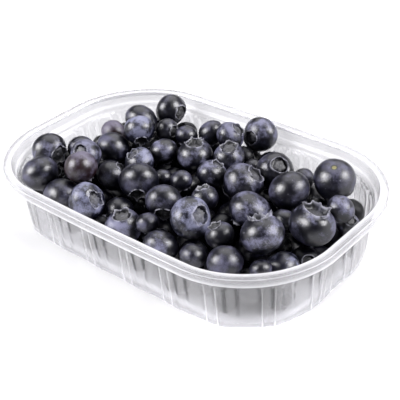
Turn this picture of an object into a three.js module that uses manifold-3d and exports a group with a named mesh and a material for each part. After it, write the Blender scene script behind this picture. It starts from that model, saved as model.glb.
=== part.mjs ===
// A punnet of blueberries: a shallow thin-walled clear plastic tray with fluted walls, and
// the heap of loose blueberries that fills it.
// Millimetres, +Z up. The origin is the middle of the foot; the long side runs along X.
import * as THREE from "three";
import { mergeVertices } from "three/addons/utils/BufferGeometryUtils.js";
import Module from "manifold-3d";

// ---- driving dimensions of the tray ----
const LENGTH = 178; // over the flange
const WIDTH = 113.7; // over the flange at the ends of the long sides
const SIDE_BOW = 1.9; // how far each long side bows outwards in its middle
const CORNER_RADIUS = 43.2; // outer edge of the flange
const RIM_HEIGHT = 33;
const WALL = 0.6; // thickness of the plastic
const FLANGE_WIDTH = 3.8;
const SKIRT_DEPTH = 3.7; // the turned-down outer edge
const RIM_ROUND = 0.3; // edges of the flange
const NECK_DEPTH = 5; // upright band between the flange and the lid ledge
const NECK_LEAN = 0.7; // how much the neck closes in over its depth
const LEDGE_INSET = 6; // outer skin under the ledge, in from the flange's outer edge
const FOOT_INSET = 8.2; // outer skin at the bottom of the drafted wall
const BOTTOM_RADIUS = 2.4; // between wall and foot
const FOOT_WIDTH = 3.2; // flat ring that the tray stands on
const PANEL_RISE = 1.4; // the base inside the foot ring is raised by this
const FLUTE_DEPTH = 1.2;
const FLUTE_TOP = 25.5; // height at which the arched flutes begin
const FLUTE_ARCH = 4; // height of the arch
const FLUTE_FLAT = 0.26; // share of a pitch that is the flute's flat bottom
const FLUTE_LAND = 0.14; // share of a pitch that is the land between two flutes
const LONG_SIDE_PITCHES = 4; // flutes along the straight part of a long side
const ROUND_PITCHES = 3; // flutes from there to the middle of a short side

// ---- driving dimensions of the heap ----
const FOOD_GAP = 0.4; // clearance between berries and plastic
const HEAP_FOOT_INSET = 10.4; // the lowest berries lie as if the wall closed in to here
const BERRY_FLATNESS = 0.92; // height of a berry over its width, from crown to stalk
const TOP_BERRY_DETAIL = 1; // how often the faces of a top berry's icosahedron are split
const UNDER_BERRY_SIDES = [6, 4]; // sides round and rows up a berry underneath
const FACET_ALLOWANCE = 1.02; // a faceted ball is this much larger, so that its faces lie true
const FILL_SIZES = [12, 17]; // smallest and largest diameter of the berries underneath
const LAYER_HEIGHTS = [9.6, 20.5]; // centres of the two layers underneath
const LAYER_PITCH = [17.2, 18.4]; // spacing of their berries
const LOOSENESS = 3; // how far they may lie from an even spacing
const EMPTY_BACK_EDGE = 27; // the second layer stops at this y, short of the back wall
const EMPTY_END_FROM = 45; // and, beyond this distance along -X, it stops sooner
const EMPTY_END_SLOPE = 1.9;
const TOP_YIELD = 0.002; // how readily a berry on top gives way, against 1 underneath
const SHIFTS = 160; // rounds of pushing overlapping berries apart
const SEED = 41;
const CORE_INSET = 4.5; // the heap's core stays this far inside the tray's inner skin
const CORE_FLOOR = 3; // and this far above its floor
const CORE_SHOULDER = 20; // height up to which its sides follow the tray
const CORE_SINK = 1.5; // under a berry the core rises to this far below its centre
const CORE_PLATEAU = 0.9; // share of the berry's radius over which it stays level
const CORE_SLOPE = 2; // fall per millimetre outside that
const SHOWING_DEPTH = 15; // berries of the lowest layer show this far in from the tray's side
const CORE_RINGS = 9; // rings of points over the core's top
const CORE_STATIONS = 44; // points round each

// The berries on top of the heap, placed by hand: for each height of their centres, where they
// lie and how large they are, as x, y and diameter.
const TOP_BERRIES = new Map([
  [35, [[-40, 10, 15], [0, 32, 14], [61, 27, 19], [62, -25, 18], [-37, -32, 15]]],
  [
    32,
    [
      [-51, 23, 16], [-45, 39, 16], [-32, 22, 12], [-21, 24, 11], [-13, 32, 13], [7, 45, 17],
      [-19, 4, 14], [-7, 11, 17], [9, 19, 15], [33, 22, 17], [48, 12, 18], [74, 12, 12],
      [-48, -18, 15], [-22, -7, 14], [-10, -22, 18], [4, -9, 10], [12, 3, 14], [28, 5, 18],
      [22, -14, 12], [9, -26, 16], [27, -30, 18], [44, -10, 18], [70, -3, 19], [44, -31, 12],
    ],
  ],
  [
    28,
    [
      [-58, 10, 13], [-48, 0, 16], [-71, -21, 17], [-61, -10, 13], [-58, -40, 17], [-29, -19, 14],
      [-22, -42, 17], [-9, -7, 9], [11, -39, 10], [19, 23, 9], [43, 29, 10], [55, -3, 11],
      [41, -44, 11], [54, -40, 15], [68, -35, 9],
    ],
  ],
  [
    24,
    [[-42, -41, 18], [-12, -33, 13], [-1, -44, 16], [21, -44, 15], [73, -26, 15], [76, 16, 10]],
  ],
]);

// ---- outline of the tray ----
const HALF_LENGTH = LENGTH / 2;
const HALF_WIDTH = WIDTH / 2;
const STRAIGHT_X = HALF_LENGTH - CORNER_RADIUS; // half of a long side's straight part
const STRAIGHT_Y = HALF_WIDTH - CORNER_RADIUS; // half of a short side's straight part
const WALL_RADIUS = CORNER_RADIUS - LEDGE_INSET;
const CORNER_LENGTH = (Math.PI / 2) * WALL_RADIUS;
const QUARTER_PITCHES = LONG_SIDE_PITCHES / 2 + ROUND_PITCHES;
const PITCHES = 4 * QUARTER_PITCHES; // flutes all the way round

// How far a long side bows outwards at x, where the outward normal's y part is ny.
const bow = (x, ny) => SIDE_BOW * (1 - (x / HALF_LENGTH) ** 2) * ny * ny;

// A place on the quarter outline, counted in flute pitches from the middle of a long side to
// the middle of a short side: the corner arc's centre, or its shadow on a straight, and the
// outward normal there.
function quarterPlace(pitches) {
  const straight = LONG_SIDE_PITCHES / 2;
  if (pitches <= straight) {
    return [(pitches / straight) * STRAIGHT_X, STRAIGHT_Y, 0, 1];
  }
  const along = ((pitches - straight) / ROUND_PITCHES) * (CORNER_LENGTH + STRAIGHT_Y);
  if (along >= CORNER_LENGTH) {
    return [STRAIGHT_X, STRAIGHT_Y - (along - CORNER_LENGTH), 1, 0];
  }
  const turn = along / WALL_RADIUS;
  return [STRAIGHT_X, STRAIGHT_Y, Math.sin(turn), Math.cos(turn)];
}

// The same for the whole outline, counter-clockwise from the middle of the +Y side. Every
// second quarter is a mirror image and so is walked backwards.
function outlinePlace(pitches) {
  const quarter = Math.floor(pitches / QUARTER_PITCHES);
  const part = pitches - quarter * QUARTER_PITCHES;
  const [x, y, nx, ny] = quarterPlace(quarter % 2 === 0 ? part : QUARTER_PITCHES - part);
  const signX = quarter < 2 ? -1 : 1;
  const signY = quarter === 0 || quarter === 3 ? 1 : -1;
  return { x: x * signX, y: y * signY, nx: nx * signX, ny: ny * signY };
}

function outlinePoint(place, inset, z) {
  const reach = CORNER_RADIUS - inset;
  const x = place.x + place.nx * reach;
  const y = place.y + place.ny * reach + bow(x, place.ny) * Math.sign(place.ny);
  return [x, y, z];
}

// ---- the wall's section ----
const FLANGE_FOOT = RIM_HEIGHT - WALL;
const LEDGE_HEIGHT = RIM_HEIGHT - NECK_DEPTH;
const NECK_INSET = FLANGE_WIDTH + NECK_LEAN; // outer skin at the foot of the neck
const WALL_FOOT = BOTTOM_RADIUS;

// Outer skin of the drafted wall, without its flutes, for its inset at the foot.
const wallInset = (z, foot = FOOT_INSET) =>
  LEDGE_INSET + ((foot - LEDGE_INSET) * (LEDGE_HEIGHT - z)) / (LEDGE_HEIGHT - WALL_FOOT);

// How deep a flute is at a place along the outline: flat in its middle, sloping up to the
// land on either side, and narrowing to nothing in an arch at its top.
function fluteDepth(pitches, z) {
  const fromMiddle = Math.abs(pitches - Math.round(pitches));
  const rise = Math.min(Math.max((FLUTE_TOP - z) / FLUTE_ARCH, 0), 1);
  const narrowing = Math.sqrt(rise * (2 - rise));
  const flat = (FLUTE_FLAT / 2) * narrowing;
  const land = (0.5 - FLUTE_LAND / 2) * narrowing;
  if (fromMiddle >= land || rise === 0) return 0;
  const slope = Math.min((land - fromMiddle) / (land - flat), 1);
  return FLUTE_DEPTH * slope;
}

// Rows of the tray's one closed skin, from the middle of its underside round the flange to
// the middle of its floor: inset, height, and 1 where the flutes reach.
function traySection() {
  const fluted = [WALL_FOOT, FLUTE_TOP - FLUTE_ARCH, FLUTE_TOP - 0.4 * FLUTE_ARCH, FLUTE_TOP];
  const footOuter = FOOT_INSET + BOTTOM_RADIUS * 0.8;
  const footInner = footOuter + FOOT_WIDTH;
  const panelEdge = footInner + PANEL_RISE;
  const under = [
    [panelEdge, PANEL_RISE, 0],
    [footInner, 0, 0],
    [footOuter, 0, 1],
    [FOOT_INSET + BOTTOM_RADIUS * 0.2, WALL_FOOT * 0.3, 1],
    ...fluted.map((z) => [wallInset(z), z, 1]),
    [LEDGE_INSET, LEDGE_HEIGHT - WALL, 0],
    [NECK_INSET, LEDGE_HEIGHT, 0],
    [FLANGE_WIDTH, FLANGE_FOOT, 0],
  ];
  const rim = [
    [WALL, FLANGE_FOOT, 0],
    [WALL, RIM_HEIGHT - SKIRT_DEPTH, 0],
    [0, RIM_HEIGHT - SKIRT_DEPTH, 0],
    [0, RIM_HEIGHT - RIM_ROUND, 0],
    [RIM_ROUND, RIM_HEIGHT, 0],
    [FLANGE_WIDTH + WALL - RIM_ROUND, RIM_HEIGHT, 0],
    [FLANGE_WIDTH + WALL, RIM_HEIGHT - RIM_ROUND, 0],
  ];
  const over = [
    [NECK_INSET + WALL, LEDGE_HEIGHT + WALL, 0],
    [LEDGE_INSET + WALL, LEDGE_HEIGHT, 0],
    ...fluted.reverse().map((z) => [wallInset(z) + WALL, z, 1]),
    [footOuter, WALL, 1],
    [footInner, WALL, 0],
    [panelEdge, PANEL_RISE + WALL, 0],
  ];
  return [...under, ...rim, ...over];
}

// Where along the outline the skin has its points: at each crease of each flute.
function stations() {
  const land = 0.5 - FLUTE_LAND / 2;
  const creases = [-land, -FLUTE_FLAT / 2, FLUTE_FLAT / 2, land];
  const all = [];
  for (let flute = 0; flute < PITCHES; flute++) {
    creases.forEach((crease) => all.push((flute + crease + PITCHES) % PITCHES));
  }
  return all.sort((a, b) => a - b);
}

// A closed skin through rings of points: a fan at either end, and quads between the rings.
function skin(rings, firstMiddle, lastMiddle) {
  const count = rings[0].length;
  const points = [firstMiddle, ...rings.flat(), lastMiddle];
  const last = points.length - 1;
  const at = (ring, i) => 1 + ring * count + (i % count);
  const faces = [];
  for (let i = 0; i < count; i++) {
    faces.push([0, at(0, i + 1), at(0, i)]);
    for (let ring = 0; ring + 1 < rings.length; ring++) {
      const [a, b] = [at(ring, i), at(ring, i + 1)];
      const [c, d] = [at(ring + 1, i + 1), at(ring + 1, i)];
      faces.push([a, b, c], [a, c, d]);
    }
    faces.push([last, at(rings.length - 1, i), at(rings.length - 1, i + 1)]);
  }
  const geometry = new THREE.BufferGeometry();
  geometry.setAttribute("position", new THREE.Float32BufferAttribute(points.flat(), 3));
  geometry.setIndex(faces.flat());
  return geometry;
}

function trayGeometry() {
  const along = stations();
  const rings = traySection().map(([inset, z, fluted]) =>
    along.map((pitches) => {
      const depth = fluted ? fluteDepth(pitches, Math.max(z, WALL_FOOT)) : 0;
      return outlinePoint(outlinePlace(pitches), inset + depth, z);
    }),
  );
  return skin(rings, [0, 0, PANEL_RISE], [0, 0, PANEL_RISE + WALL]);
}

// ---- the heap ----
const FLOOR = PANEL_RISE + WALL; // inner face of the raised base

// Seeded random numbers from 0 to 1, the same on every run.
function randomFrom(seed) {
  let state = seed;
  return () => {
    state = (Math.imul(state, 1664525) + 1013904223) >>> 0;
    return state / 4294967296;
  };
}

// How far inside the flange's outer edge a point is, and the outward normal there.
function insideOutline(x, y) {
  const overX = Math.abs(x) - STRAIGHT_X;
  const overY = Math.abs(y) - STRAIGHT_Y;
  let [nx, ny] = overX > overY ? [1, 0] : [0, 1];
  let out = Math.max(overX, overY);
  if (overX > 0 && overY > 0) {
    out = Math.sqrt(overX * overX + overY * overY);
    [nx, ny] = [overX / out, overY / out];
  }
  const depth = CORNER_RADIUS + bow(x, ny) - out;
  return [depth, nx * Math.sign(x), ny * Math.sign(y)];
}

// How far in the heap may reach at a height, clear of the flutes at their deepest.
function innerInset(z) {
  if (z > LEDGE_HEIGHT) return NECK_INSET + WALL;
  const flute = z < FLUTE_TOP ? FLUTE_DEPTH : 0;
  return wallInset(Math.max(z, 0), HEAP_FOOT_INSET) + WALL + flute;
}

// Pushes a berry off the floor and the walls.
function keepInside(berry) {
  const radius = (berry.size / 2) * FACET_ALLOWANCE;
  berry.z = Math.max(berry.z, FLOOR + FOOD_GAP + radius);
  for (const level of [-0.8, -0.4, 0, 0.4, 0.8]) {
    const z = berry.z + level * radius;
    const [depth, nx, ny] = insideOutline(berry.x, berry.y);
    const reach = radius * Math.sqrt(1 - level * level) + FOOD_GAP;
    const excess = z > RIM_HEIGHT ? 0 : innerInset(z) + reach - depth;
    if (excess > 0) {
      berry.x -= nx * excess;
      berry.y -= ny * excess;
    }
  }
}

// Pushes two berries apart where they overlap; the lighter one gives way.
function pushApart(a, b) {
  const [dx, dy, dz] = [b.x - a.x, b.y - a.y, b.z - a.z];
  const distance = Math.sqrt(dx * dx + dy * dy + dz * dz);
  const overlap = (a.size + b.size) / 2 - distance;
  if (overlap <= 0) return;
  const share = overlap / (distance * (a.yields + b.yields));
  for (const [berry, way] of [[a, -a.yields], [b, b.yields]]) {
    berry.x += dx * share * way;
    berry.y += dy * share * way;
    berry.z += dz * share * way;
  }
}

// One layer of berries underneath, on a triangular grid that each berry leaves by a little.
function layer(index, random) {
  const [small, large] = FILL_SIZES;
  const z = LAYER_HEIGHTS[index];
  const pitch = LAYER_PITCH[index];
  const rowPitch = (pitch * Math.sqrt(3)) / 2;
  const rows = Math.ceil(HALF_WIDTH / rowPitch);
  const columns = Math.ceil(HALF_LENGTH / pitch);
  const berries = [];
  for (let row = -rows; row <= rows; row++) {
    for (let column = -columns; column <= columns; column++) {
      const x = (column + ((row + index) % 2 === 0 ? 0 : 0.5)) * pitch + (random() - 0.5) * LOOSENESS;
      const y = row * rowPitch + (random() - 0.5) * LOOSENESS;
      const size = small + (large - small) * random();
      const [depth] = insideOutline(x, y);
      const room = depth - innerInset(z) - size / 2;
      const empty = index > 0 && y > EMPTY_BACK_EDGE - EMPTY_END_SLOPE * Math.max(0, -x - EMPTY_END_FROM);
      if (room > -LOOSENESS && !empty) berries.push({ x, y, z, size, top: false, yields: 1 });
    }
  }
  return berries;
}

function heapOfBerries() {
  const random = randomFrom(SEED);
  const top = [...TOP_BERRIES].flatMap(([z, places]) =>
    places.map(([x, y, size]) => ({ x, y, z, size, top: true, yields: TOP_YIELD })),
  );
  const under = LAYER_HEIGHTS.flatMap((z, index) => layer(index, random));
  const berries = [...top, ...under];
  for (let round = 0; round < SHIFTS; round++) {
    berries.forEach((a, i) => berries.slice(i + 1).forEach((b) => pushApart(a, b)));
    berries.forEach(keepInside);
  }
  return berries;
}

// Height of the core's top at a point: it stands up into every berry and falls off between.
function coreTop(x, y, berries) {
  const heights = berries.map((berry) => {
    const away = Math.hypot(berry.x - x, berry.y - y) - (CORE_PLATEAU * berry.size) / 2;
    return berry.z - CORE_SINK - CORE_SLOPE * Math.max(away, 0);
  });
  return Math.max(...heights, FLOOR + 2 * CORE_FLOOR);
}

// The core under the berries that show: one smooth closed body.
function coreGeometry(berries) {
  const bottom = FLOOR + CORE_FLOOR;
  const places = Array.from({ length: CORE_STATIONS }, (_, i) =>
    outlinePlace((i / CORE_STATIONS) * PITCHES),
  );
  const ringAt = (inset, share, height) =>
    places.map((place) => {
      const [x, y] = outlinePoint(place, inset, 0);
      return [x * share, y * share, height(x * share, y * share)];
    });
  const foot = innerInset(bottom) + CORE_INSET;
  const shoulder = innerInset(CORE_SHOULDER) + CORE_INSET;
  const rings = [
    ringAt(foot, 0.5, () => bottom),
    ringAt(foot, 1, () => bottom),
    ...Array.from({ length: CORE_RINGS }, (_, ring) =>
      ringAt(shoulder, 1 - ring / CORE_RINGS, (x, y) => coreTop(x, y, berries)),
    ),
  ];
  return skin(rings, [0, 0, bottom], [0, 0, coreTop(0, 0, berries)]);
}

// A few-sided berry, a little flattened from crown to stalk and turned any way.
function berryGeometry(berry, random) {
  const radius = (berry.size / 2) * FACET_ALLOWANCE;
  const geometry = berry.top
    ? new THREE.IcosahedronGeometry(radius, TOP_BERRY_DETAIL)
    : new THREE.SphereGeometry(radius, ...UNDER_BERRY_SIDES);
  const tilt = new THREE.Euler(random() * Math.PI, random() * Math.PI, 0);
  geometry.scale(1, 1, BERRY_FLATNESS);
  geometry.applyMatrix4(new THREE.Matrix4().makeRotationFromEuler(tilt));
  geometry.translate(berry.x, berry.y, berry.z);
  return geometry;
}

// ---- joining ----
const wasm = await Module();
wasm.setup();

function solidOf(geometry) {
  const bare = geometry.clone();
  bare.deleteAttribute("normal");
  bare.deleteAttribute("uv");
  const merged = mergeVertices(bare, 1e-4);
  const vertProperties = merged.attributes.position.array;
  const triVerts = new Uint32Array(merged.index.array);
  return new wasm.Manifold(new wasm.Mesh({ numProp: 3, vertProperties, triVerts }));
}

function geometryOf(solid) {
  const { vertProperties, triVerts } = solid.getMesh();
  const geometry = new THREE.BufferGeometry();
  geometry.setAttribute("position", new THREE.BufferAttribute(vertProperties, 3));
  geometry.setIndex(new THREE.BufferAttribute(triVerts, 1));
  return geometry;
}

// Whether a berry shows from above or through the tray's side.
function shows(berry) {
  const [depth] = insideOutline(berry.x, berry.y);
  const upper = berry.z > (LAYER_HEIGHTS[0] + LAYER_HEIGHTS[1]) / 2;
  return upper || depth < innerInset(berry.z) + SHOWING_DEPTH;
}

function heapGeometry() {
  const berries = heapOfBerries();
  const random = randomFrom(SEED + 1);
  let heap = solidOf(coreGeometry(berries));
  for (const berry of berries.filter(shows)) {
    heap = heap.add(solidOf(berryGeometry(berry, random)));
  }
  return geometryOf(heap);
}

// ---- the part ----
const clearPlastic = new THREE.MeshStandardMaterial({
  color: 0xf1f2f5,
  roughness: 0.25,
  metalness: 0,
  transparent: true,
  opacity: 0.35,
});
const berrySkin = new THREE.MeshStandardMaterial({ color: 0x2a2d3c, roughness: 0.5, metalness: 0 });

function namedMesh(name, geometry, material) {
  const mesh = new THREE.Mesh(geometry, material);
  mesh.name = name;
  return mesh;
}

const punnetOfBlueberries = new THREE.Group();
punnetOfBlueberries.add(namedMesh("punnet", trayGeometry(), clearPlastic));
punnetOfBlueberries.add(namedMesh("blueberries", heapGeometry(), berrySkin));

export default punnetOfBlueberries;
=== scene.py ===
# Looks of a punnet of blueberries: a thin milky-clear tray and the loose berries heaped in it,
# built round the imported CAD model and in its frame. Sizes are millimetres unless a name says
# otherwise; meshes are scaled to metres as they are made.
import math
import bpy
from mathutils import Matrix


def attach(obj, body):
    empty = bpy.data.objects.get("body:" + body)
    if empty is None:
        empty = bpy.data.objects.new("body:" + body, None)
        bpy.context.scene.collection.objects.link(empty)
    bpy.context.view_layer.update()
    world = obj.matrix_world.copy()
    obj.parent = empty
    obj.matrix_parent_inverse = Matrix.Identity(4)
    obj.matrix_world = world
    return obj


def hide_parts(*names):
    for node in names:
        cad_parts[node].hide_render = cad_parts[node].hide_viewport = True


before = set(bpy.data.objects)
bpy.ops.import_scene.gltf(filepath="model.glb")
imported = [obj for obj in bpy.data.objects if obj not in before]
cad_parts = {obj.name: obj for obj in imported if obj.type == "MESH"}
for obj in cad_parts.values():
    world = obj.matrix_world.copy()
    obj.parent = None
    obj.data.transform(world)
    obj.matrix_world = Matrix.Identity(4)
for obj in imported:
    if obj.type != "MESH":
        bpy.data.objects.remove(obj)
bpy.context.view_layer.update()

from types import SimpleNamespace

import bpy
import numpy as np
from mathutils import Matrix, Vector

MM = 0.001

# ---- camera: its place, and where it looks ----
CAMERA_PLACE = (231.6, -247.3, 236.2)
CAMERA_YAW = math.radians(42.32)  # from +Y towards -X
CAMERA_PITCH = math.radians(33.14)  # below the horizon
CAMERA_ROLL = math.radians(-3.64)
LENS_MM = 78.55
SENSOR_MM = 36

# ---- tray, the dimensions of the CAD model ----
LENGTH = 178  # over the flange
WIDTH = 113.7  # over the flange at the ends of the long sides
SIDE_BOW = 1.9
CORNER_RADIUS = 43.2
RIM_HEIGHT = 33
WALL = 0.6
FLANGE_WIDTH = 3.8
SKIRT_DEPTH = 3.7
NECK_DEPTH = 5
NECK_LEAN = 0.7
LEDGE_INSET = 6
FOOT_INSET = 8.2
BOTTOM_RADIUS = 2.4
FOOT_WIDTH = 3.2
PANEL_RISE = 1.4
FLUTE_DEPTH = 1.2  # what the heap keeps clear of, as in the CAD model
NICHE_DEPTH = 1.6  # what the fine mesh shows
FLUTE_TOP = 25.5
FLUTE_ARCH = 4
FLUTE_FLAT = 0.3  # share of a pitch that is the inner niche's flat bottom
FLUTE_AT_FOOT = 0.4  # share of the niches' depth that is left at the foot
FLUTE_LAND = 0.1  # share of a pitch that is the rib between two niches
FLUTE_STEP = 0.08  # share of a pitch that each step takes
LONG_SIDE_PITCHES = 4
ROUND_PITCHES = 3
ROW_SPACING = 1.1  # between two rows up the wall

# ---- heap, the same rules and numbers as the CAD model's ----
FOOD_GAP = 0.4
HEAP_FOOT_INSET = 10.4  # the lowest berries lie as if the wall closed in to here
FACET_ALLOWANCE = 1.02  # a faceted ball of the CAD model is this much larger
FILL_SIZES = (12, 17)
LAYER_HEIGHTS = (9.6, 20.5)
LAYER_PITCH = (17.2, 18.4)
LOOSENESS = 3  # how far they may lie from an even spacing
EMPTY_BACK_EDGE = 27  # the second layer stops at this y, short of the back wall
EMPTY_END_FROM = 45  # and, beyond this distance along -X, it stops sooner
EMPTY_END_SLOPE = 1.9
TOP_YIELD = 0.002  # how readily a berry on top gives way to its neighbours
FILL_YIELD = 1  # and one under it
SHIFTS = 160
TOUCHING = 20  # two berries whose middles are further apart than this can't touch
LEVELS = (-0.8, -0.4, 0, 0.4, 0.8)  # where a berry is held off the wall, in radii from its middle
SEED = 41
RANDOM_FACTOR = 1664525
RANDOM_STEP = 1013904223
RANDOM_RANGE = 2**32
MODEL_CORE_FLOOR = 6  # height of the CAD model's core over the floor where nothing lies on it
MODEL_CORE_SINK = 1.5  # under a berry it rises to this far below the berry's centre
MODEL_CORE_PLATEAU = 0.9  # share of the berry's radius over which it stays level
MODEL_CORE_SLOPE = 2  # fall per millimetre outside that

# ---- berries that take the place of the CAD model's core ----
DEEP_SIZES = (15.5, 9)
DEEP_TRIES = 9000
DEEP_LEVELS = 8  # heights tried at each place, from the top down
DEEP_OVERLAP = 0.5
DEEP_SINK = 0.25  # share of a berry's size that its centre stays under the CAD model's core

# ---- the dark core that is left under them ----
CORE_INSET = 11
CORE_GAP = 2
CORE_SHOULDER = 12
CORE_SINK = 13
CORE_PLATEAU = 0.5
CORE_SLOPE = 3
CORE_LOWEST = 2  # thickness where nothing lies over it
CORE_BOTTOM = (0.5, 1)  # sizes of the rings on its underside, in shares of its foot
CORE_RINGS = 18
CORE_STATIONS = 110

# The berries on top, placed one by one. For each height of their centres: x, y, diameter, then
# which way the crown faces as seen from the camera, to the right and up in shares of the
# berry's radius (None where it is turned away, "stalk" where the stalk scar shows instead),
# and the kind of skin. Two more shares give a large crown's own radius and the height of its
# lobes.
TOP_BERRIES = {
    35: (
        (-40, 10, 15, (0.15, -0.82, 0.38, 0.1), "bloomed"),
        (0, 32, 14, (0.68, 0.55), "mottled"),
        (61, 27, 19, "stalk", "dark"),
        (62, -25, 18, (-0.16, 0.97, 0.5, 0.15), "mottled"),
        (-37, -32, 15, None, "reddish"),
    ),
    32: (
        (-51, 23, 16, None, "dark"),
        (-45, 39, 16, (0.76, -0.16), "dark"),
        (-32, 22, 12, (0.72, -0.1), "dark"),
        (-21, 24, 11, None, "dark"),
        (-13, 32, 13, None, "dark"),
        (7, 45, 17, (-0.62, -0.2), "mottled"),
        (-19, 4, 14, None, "mottled"),
        (-7, 11, 17, (0.0, 0.85, 0.46, 0.08), "mottled"),
        (9, 19, 15, (0.0, 0.75), "mottled"),
        (33, 22, 17, (0.3, 0.32), "dark"),
        (48, 12, 18, None, "dark"),
        (74, 12, 12, None, "mottled"),
        (-48, -18, 15, (-0.4, 0.33), "mottled"),
        (-22, -7, 14, (-0.56, 0.62), "bloomed"),
        (-10, -22, 18, (-0.12, -0.82, 0.36, 0.1), "dark"),
        (4, -9, 10, None, "dark"),
        (12, 3, 14, (0.45, 0.8), "mottled"),
        (28, 5, 18, (0.72, 0.5), "mottled"),
        (22, -14, 12, (-0.2, 0.93), "dark"),
        (9, -26, 16, (0.0, -0.85), "dark"),
        (27, -30, 18, (0.59, 0.16), "bloomed"),
        (44, -10, 18, None, "mottled"),
        (70, -3, 19, (0.24, 0.85, 0.55, 0.09), "mottled"),
        (44, -31, 12, (-0.43, 0.8), "dark"),
    ),
    28: (
        (-58, 10, 13, None, "reddish"),
        (-48, 0, 16, None, "dark"),
        (-71, -21, 17, (0.62, -0.25), "mottled"),
        (-61, -10, 13, None, "dark"),
        (-58, -40, 17, None, "dark"),
        (-29, -19, 14, (0.7, 0.6), "dark"),
        (-22, -42, 17, (0.56, 0.12), "bloomed"),
        (-9, -7, 9, None, "dark"),
        (11, -39, 10, None, "dark"),
        (19, 23, 9, None, "dark"),
        (43, 29, 10, None, "dark"),
        (55, -3, 11, None, "dark"),
        (41, -44, 11, None, "dark"),
        (54, -40, 15, None, "dark"),
        (68, -35, 9, None, "dark"),
    ),
    24: (
        (-42, -41, 18, None, "dark"),
        (-12, -33, 13, None, "dark"),
        (-1, -44, 16, (-0.1, 0.7), "mottled"),
        (21, -44, 15, None, "mottled"),
        (73, -26, 15, None, "bloomed"),
        (76, 16, 10, (0.3, 0.4), "mottled"),
    ),
}

# ---- fine mesh of the tray ----
NICHE_EDGES = (0.5 - FLUTE_LAND / 2, FLUTE_FLAT / 2 + FLUTE_STEP)  # half widths of the two arches
LIP_WIDTH = 0.18  # share of a step
LIP_FAINT = 0.15  # how strong a lip's painted highlight is on the other side of a niche
LIP_SPREAD = 0.015  # how far the close stations reach past a step, in pitches
STEP_STATIONS = 8
FLAT_STATIONS = 4
ROUNDING_STEPS = 4
ROUNDING_ROOM = 0.45  # most of the shorter side next to a corner that its rounding may take
FOOT_START = 0.8  # how far in from the wall the foot ring starts, in bottom radii
FOOT_SOFTNESS = 0.9  # rounding of the foot ring and of the panel's edge
PANEL_MARGIN = 3  # level edge of the base panel

# ---- where the plastic is painted with white highlight lines and is whiter at its foot, and where its stretched steps look clearer ----
RIM_EDGES = (  # inset and height of the rim's edges, where white highlight lines are painted
    (FLANGE_WIDTH, RIM_HEIGHT),
    (0, RIM_HEIGHT),
    (0, RIM_HEIGHT - SKIRT_DEPTH),
)
EDGE_WIDTH = 0.42  # how far a painted highlight reaches from an edge
LIP_HIGHLIGHT = 0.54  # painted highlight lines on the niches' lips, on the outside
# the same painted highlight lines on the inside, fainter
INNER_LIP_HIGHLIGHT = 0.15
INNER_STEP = 0.25  # how much of the steps' clearness the inside has
FLANGE_CLEAR = 0.75
# how much whiter and less clear the plastic is made at its foot
FOOT_WHITENING = 0.52
FOOT_WHITENING_HEIGHT = 7  # how far it reaches up the wall

# ---- one berry: lengths are shares of its radius; pairs are the least and the most ----
TOP_DETAIL = (60, 22)  # points round a berry, and rows of them below its crown
UNDER_DETAIL = (28, 14)
HIDDEN = ("under", "deep")  # kinds that show in the gaps alone, their skins darkened as painted shade
CROWN_RADIUS = (0.38, 0.48)
GROOVE_DEPTH = (0.15, 0.24)  # of the groove inside the crown's rim
LOBE_HEIGHT = (0.04, 0.12)
LOBE_FLARE = (-0.02, 0.14)  # how far the lobes lean out
FLATNESS = (0.84, 0.95)  # height in widths
PLAIN_LOBES = (0.2, 0.8)  # raggedness and sharpness
PLAIN_DISC = 0.3  # how deep the crown's disc lies, in groove depths
LARGE_LOBES = (0.7, 1.3)  # these four are a large crown's
LARGE_DISC = 0.75
LARGE_GROOVE = 0.3
LARGE_FLARE = 0.12
LOBES = 5
LOBE_MOST = 1.2  # in lobe heights
NOTCH_DEPTH = 0.5  # between two lobes, in lobe heights
RAG_WAVES = (9, 13, 19)  # waves round the crown that fray its lobes
RAG_SIZES = (0.4, 1)
CROWN_PINCH = 0.26  # how far the hollow round the crown's disc runs in and out between the lobes
PINCH_PLACE = 0.72  # in crown radii
PINCH_WIDTH = 0.15
STAR_RAGGEDNESS = 0.25
GROOVE_MEAN = 0.75  # in groove depths
GROOVE_TILT = 0.45  # how much deeper the groove is on one side
DISC_MIDDLE = 0.004  # how far the disc's middle stands up
DISC_MASKS = (1, 0, 0.3)  # of its middle: disc, groove and frill
WOBBLES = ((2, 0.06), (3, 0.04))  # waves round the whole berry, and how large each one is
WOBBLE_TURN = 6  # radians that a wave may be turned by
BODY_START = 1.17  # in crown radii
BODY_SPREAD = 0.9  # under 1 the rows lie wider at the crown than at the stalk
STALK_ANGLE = 0.05  # where the last row stops short of the stalk, in radians
STALK_HEIGHT = 0.93
DIMPLE_DEPTH = 0.07
DIMPLE_WIDTH = 0.16  # radians
SCAR_WIDTH = 0.13  # radians
LUMPS = (0.05, 3, 1.5, 2.6)  # depth, number of waves, and their lowest and highest frequency
SMALL_LUMPS = (0.016, 5, 4, 7)
WRINKLES = (0.03, 8, 14, 34)  # on the crown's disc

# ---- how a berry lies, and the bloom on it ----
EDGE_ON = 0.02  # least that a crown that shows is turned to the camera, squared
STALK_WAY = (0.03, -0.6, -0.8)  # where a crown faces when the stalk scar shows: right, up, towards
HIDDEN_WAY = (0.8, -0.8, -0.1)  # and when neither shows; the first one is the most to either side
RUB_AND_SHADE_REACH = 4.0  # millimetres; bloom thins this near to the next berry, partly as wear and partly as painted shade
DEPTH_SHADE = 0.05  # how much bloom a berry lacks for each millimetre under the top ones: painted shade, darker lower in the heap
LARGE_TONE = 0.05  # of a berry with a large crown
STALK_TONE = 1  # of the berry whose stalk scar shows
UNDERSIDE_SHADE = 0.1  # how far over its middle a berry's bloom starts to thin: painted shade on its underside
OWN_SPREAD = 40  # how far apart berries lie in the noise
BERRY_ATTRIBUTES = ("own", "tone", "rubbed", "disc", "groove", "frill", "scar")

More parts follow.
